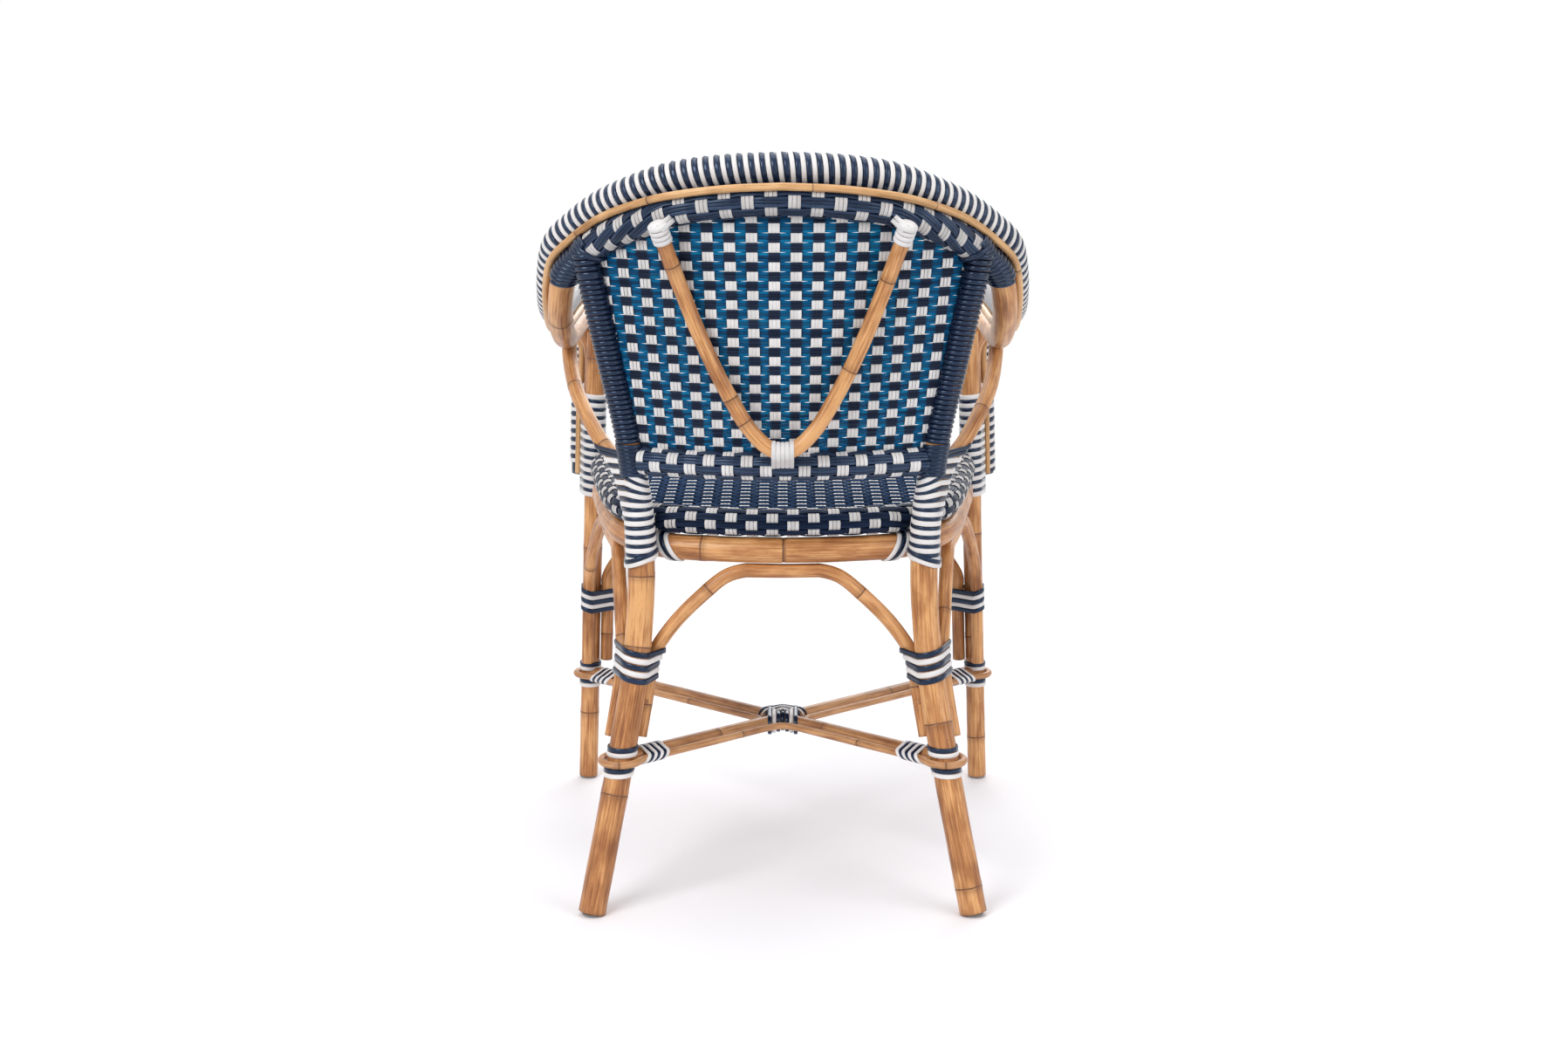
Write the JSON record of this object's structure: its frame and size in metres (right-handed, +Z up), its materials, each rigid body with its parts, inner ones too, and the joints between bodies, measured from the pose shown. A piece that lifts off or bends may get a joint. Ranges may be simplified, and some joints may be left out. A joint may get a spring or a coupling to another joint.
{
  "type": "rattan bistro chair",
  "caption": "Bent rattan cafe armchair: woven seat and back, reed-wrapped rim and posts, arches under the rail, crossed stretchers on splayed legs.",
  "frame": {"origin": "on the floor, under the middle of the chair's bounding box", "axes": "+X towards the sitter's left arm, +Y towards the back, +Z up; the sitter faces -Y"},
  "size_m": [0.5852, 0.6262, 0.8831],
  "materials": {
    "rattan": "satin varnish",
    "navy_reed": "gloss",
    "white_reed": "gloss",
    "weave": "satin",
    "glide": "matt"
  },
  "bodies": {
    "root": {"arm_bow": "rattan", "arm_strut_left": "rattan", "arm_strut_right": "rattan", "back_brace": "rattan", "crossbar": "rattan", "front_arch": "rattan", "front_leg_left": "rattan", "front_leg_loop_left": "rattan", "front_leg_loop_right": "rattan", "front_leg_right": "rattan", "inner_strip_left": "rattan", "inner_strip_right": "rattan", "outer_strip": "rattan", "rear_arch": "rattan", "rear_leg_loop_left": "rattan", "rear_leg_loop_right": "rattan", "rear_post_left": "rattan", "rear_post_right": "rattan", "seat_rail": "rattan", "side_arch_left": "rattan", "side_arch_right": "rattan", "stretcher_cane_front": "rattan", "stretcher_cane_left": "rattan", "stretcher_cane_rear": "rattan", "stretcher_cane_right": "rattan", "stretcher_lower": "rattan", "stretcher_upper": "rattan", "bow_lashing_left": "navy_reed", "bow_lashing_right": "navy_reed", "centre_wrap": "navy_reed", "front_binding_left": "navy_reed", "front_binding_right": "navy_reed", "front_leg_band_left": "navy_reed", "front_leg_band_right": "navy_reed", "front_stretcher_lashing_left": "navy_reed", "front_stretcher_lashing_right": "navy_reed", "post_wrap_left": "navy_reed", "post_wrap_right": "navy_reed", "rail_lashing_left": "navy_reed", "rail_lashing_right": "navy_reed", "rear_binding_left": "navy_reed", "rear_binding_right": "navy_reed", "rear_leg_band_left": "navy_reed", "rear_leg_band_right": "navy_reed", "rear_stretcher_lashing_left": "navy_reed", "rear_stretcher_lashing_right": "navy_reed", "rim_band": "navy_reed", "brace_wrap_foot": "white_reed", "brace_wrap_left": "white_reed", "brace_wrap_right": "white_reed", "front_striped_wrap_left": "white_reed", "front_striped_wrap_right": "white_reed", "rear_striped_wrap_left": "white_reed", "rear_striped_wrap_right": "white_reed", "woven_back": "weave", "woven_seat": "weave", "front_glide_left": "glide", "front_glide_right": "glide", "rear_glide_left": "glide", "rear_glide_right": "glide"}
  },
  "joints": []
}
